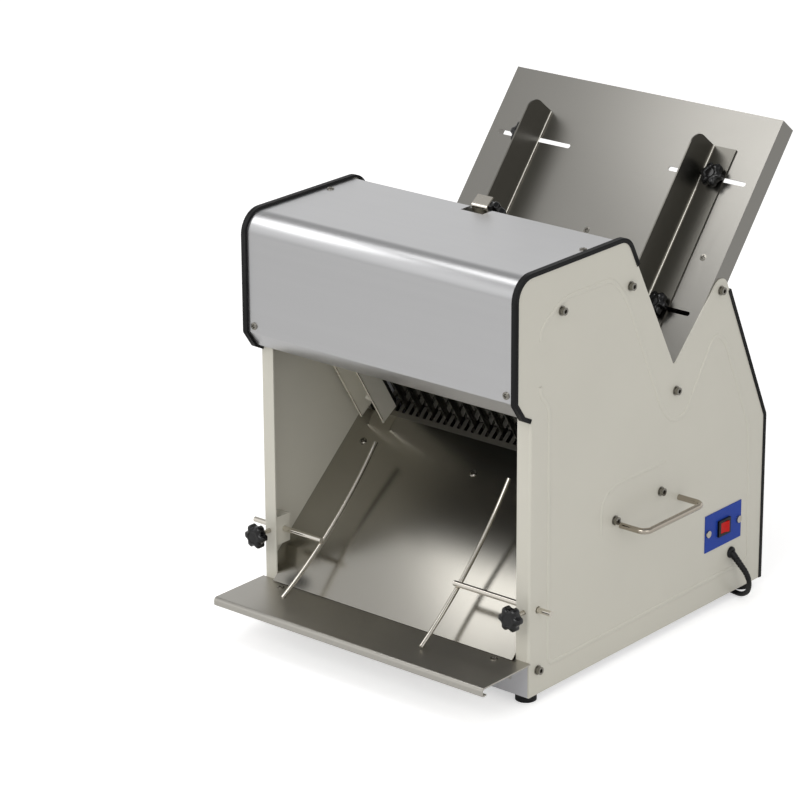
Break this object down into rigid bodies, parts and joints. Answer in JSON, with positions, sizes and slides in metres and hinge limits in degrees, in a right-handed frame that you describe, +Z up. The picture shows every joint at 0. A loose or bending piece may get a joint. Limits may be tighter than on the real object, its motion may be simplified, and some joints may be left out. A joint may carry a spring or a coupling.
{
  "type": "bread slicer",
  "caption": "Countertop bread slicer: cream steel sides, stainless hood, sloped infeed plate, two opposed blade frames on a belt-driven crank, outfeed chute and tray",
  "frame": {"origin": "centre of the machine's box on the floor", "axes": "+X right seen from the outfeed side, +Y to the infeed side, +Z up"},
  "size_m": [0.538, 0.7692, 0.6561],
  "materials": {
    "cream_paint": "smooth satin enamel",
    "stainless": "fine brushed sheet",
    "black_rubber": "moulded matt",
    "grey_paint": "satin enamel",
    "plated_steel": "zinc plated",
    "bright_chrome": "polished plating",
    "dark_steel": "dark satin coat",
    "black_knob": "moulded gloss",
    "black_plastic": "moulded matt",
    "blade_steel": "ground",
    "machine_iron": "machined and oiled",
    "blue_plastic": "printed film",
    "red_plastic": "moulded gloss"
  },
  "bodies": {
    "machine": {"left_side_panel": "cream_paint", "right_side_panel": "cream_paint", "hood_cover": "stainless", "hood_trims": "black_rubber", "rear_trims": "black_rubber", "rear_cover": "stainless", "base_pan": "grey_paint", "feet": "black_rubber", "tie_rods": "plated_steel", "panel_bolts": "plated_steel", "panel_nuts": "plated_steel", "sheet_screws": "plated_steel", "lift_handles": "bright_chrome", "chute_plate": "stainless", "outfeed_comb": "stainless", "comb_rails": "cream_paint", "outfeed_tray": "stainless", "tray_brackets": "stainless", "clamp_blocks": "cream_paint", "feed_plate": "stainless", "feed_brace": "stainless", "infeed_comb": "stainless", "box_plate": "stainless", "guide_channels": "grey_paint", "bearing_housings": "machine_iron", "drive_belt": "black_rubber", "motor": "machine_iron", "motor_cradle": "grey_paint", "switch_plate": "blue_plastic", "switch_screws": "plated_steel", "switch_housing": "black_plastic", "cable_gland": "black_plastic", "power_cord": "black_rubber", "cord_coil": "black_rubber", "cord_tie": "black_rubber", "plug": "black_plastic"},
    "blade_frame_a": {"blade_frame_a": "grey_paint", "blades_a": "blade_steel"},
    "blade_frame_b": {"blade_frame_b": "grey_paint", "blades_b": "blade_steel"},
    "crankshaft": {"crankshaft": "plated_steel"},
    "connecting_rod_a": {"connecting_rod_a": "grey_paint"},
    "connecting_rod_b": {"connecting_rod_b": "grey_paint"},
    "motor_pulley": {"motor_pulley": "machine_iron"},
    "left_outfeed_guide": {"left_outfeed_guide": "bright_chrome"},
    "right_outfeed_guide": {"right_outfeed_guide": "bright_chrome"},
    "left_clamp_knob": {"left_clamp_knob": "black_knob"},
    "right_clamp_knob": {"right_clamp_knob": "black_knob"},
    "left_infeed_guide": {"left_infeed_guide": "dark_steel"},
    "right_infeed_guide": {"right_infeed_guide": "dark_steel"},
    "left_upper_knob": {"left_upper_knob": "black_knob"},
    "left_lower_knob": {"left_lower_knob": "black_knob"},
    "right_upper_knob": {"right_upper_knob": "black_knob"},
    "right_lower_knob": {"right_lower_knob": "black_knob"},
    "hold_down_strip": {"hold_down_strip": "bright_chrome"},
    "hold_down_knob": {"hold_down_knob": "black_knob"},
    "switch_rocker": {"switch_rocker": "red_plastic"}
  },
  "joints": [
    {"name": "blade_slide_a", "type": "slide", "parent": "machine", "child": "blade_frame_a", "axis": [0, -0.5299, 0.848], "range_m": [-0.008, 0.008]},
    {"name": "blade_slide_b", "type": "slide", "parent": "machine", "child": "blade_frame_b", "axis": [0, -0.5299, 0.848], "range_m": [-0.008, 0.008]},
    {"name": "crank_turn", "type": "hinge", "parent": "machine", "child": "crankshaft", "pos_m": [0, 0.10323, 0.07956], "axis": [1, 0, 0], "continuous": true},
    {"name": "rod_turn_a", "type": "hinge", "parent": "crankshaft", "child": "connecting_rod_a", "pos_m": [-0.03, 0.09644, 0.07532], "axis": [1, 0, 0], "continuous": true},
    {"name": "rod_turn_b", "type": "hinge", "parent": "crankshaft", "child": "connecting_rod_b", "pos_m": [0.03, 0.11001, 0.0838], "axis": [1, 0, 0], "continuous": true},
    {"name": "motor_turn", "type": "hinge", "parent": "machine", "child": "motor_pulley", "pos_m": [0.16, -0.00677, 0.087], "axis": [1, 0, 0], "continuous": true},
    {"name": "left_outfeed_slide", "type": "slide", "parent": "machine", "child": "left_outfeed_guide", "axis": [-1, 0, 0], "range_m": [-0.03, 0.04]},
    {"name": "right_outfeed_slide", "type": "slide", "parent": "machine", "child": "right_outfeed_guide", "axis": [1, 0, 0], "range_m": [-0.02, 0.09]},
    {"name": "left_clamp_turn", "type": "hinge", "parent": "machine", "child": "left_clamp_knob", "pos_m": [-0.216, -0.23241, 0.129], "axis": [0, -1, 0], "range_deg": [0, 360]},
    {"name": "right_clamp_turn", "type": "hinge", "parent": "machine", "child": "right_clamp_knob", "pos_m": [0.216, -0.23241, 0.129], "axis": [0, -1, 0], "range_deg": [0, 360]},
    {"name": "left_infeed_slide", "type": "slide", "parent": "machine", "child": "left_infeed_guide", "axis": [-1, 0, 0], "range_m": [-0.07, 0.04]},
    {"name": "right_infeed_slide", "type": "slide", "parent": "machine", "child": "right_infeed_guide", "axis": [1, 0, 0], "range_m": [-0.07, 0.04]},
    {"name": "left_upper_turn", "type": "hinge", "parent": "left_infeed_guide", "child": "left_upper_knob", "pos_m": [-0.16, 0.243, 0.58065], "axis": [0, -0.7771, 0.6293], "range_deg": [0, 360]},
    {"name": "left_lower_turn", "type": "hinge", "parent": "left_infeed_guide", "child": "left_lower_knob", "pos_m": [-0.16, 0.1228, 0.43222], "axis": [0, -0.7771, 0.6293], "range_deg": [0, 360]},
    {"name": "right_upper_turn", "type": "hinge", "parent": "right_infeed_guide", "child": "right_upper_knob", "pos_m": [0.16, 0.243, 0.58065], "axis": [0, -0.7771, 0.6293], "range_deg": [0, 360]},
    {"name": "right_lower_turn", "type": "hinge", "parent": "right_infeed_guide", "child": "right_lower_knob", "pos_m": [0.16, 0.1228, 0.43222], "axis": [0, -0.7771, 0.6293], "range_deg": [0, 360]},
    {"name": "hold_down_slide", "type": "slide", "parent": "machine", "child": "hold_down_strip", "axis": [0, -0.4646, 0.8855], "range_m": [0, 0.06]},
    {"name": "hold_down_turn", "type": "hinge", "parent": "machine", "child": "hold_down_knob", "pos_m": [0, -0.04098, 0.55749], "axis": [0, 0.8855, 0.4646], "range_deg": [0, 360]},
    {"name": "rocker_tip", "type": "hinge", "parent": "machine", "child": "switch_rocker", "pos_m": [0.2252, 0.18959, 0.116], "axis": [0, 0, 1], "range_deg": [0, 20]}
  ],
  "couplings": [
    {"joint": "blade_slide_b", "follows": "blade_slide_a", "ratio": -1},
    {"joint": "rod_turn_a", "follows": "crank_turn", "ratio": -1},
    {"joint": "rod_turn_b", "follows": "crank_turn", "ratio": -1},
    {"joint": "motor_turn", "follows": "crank_turn", "ratio": 2.38}
  ]
}
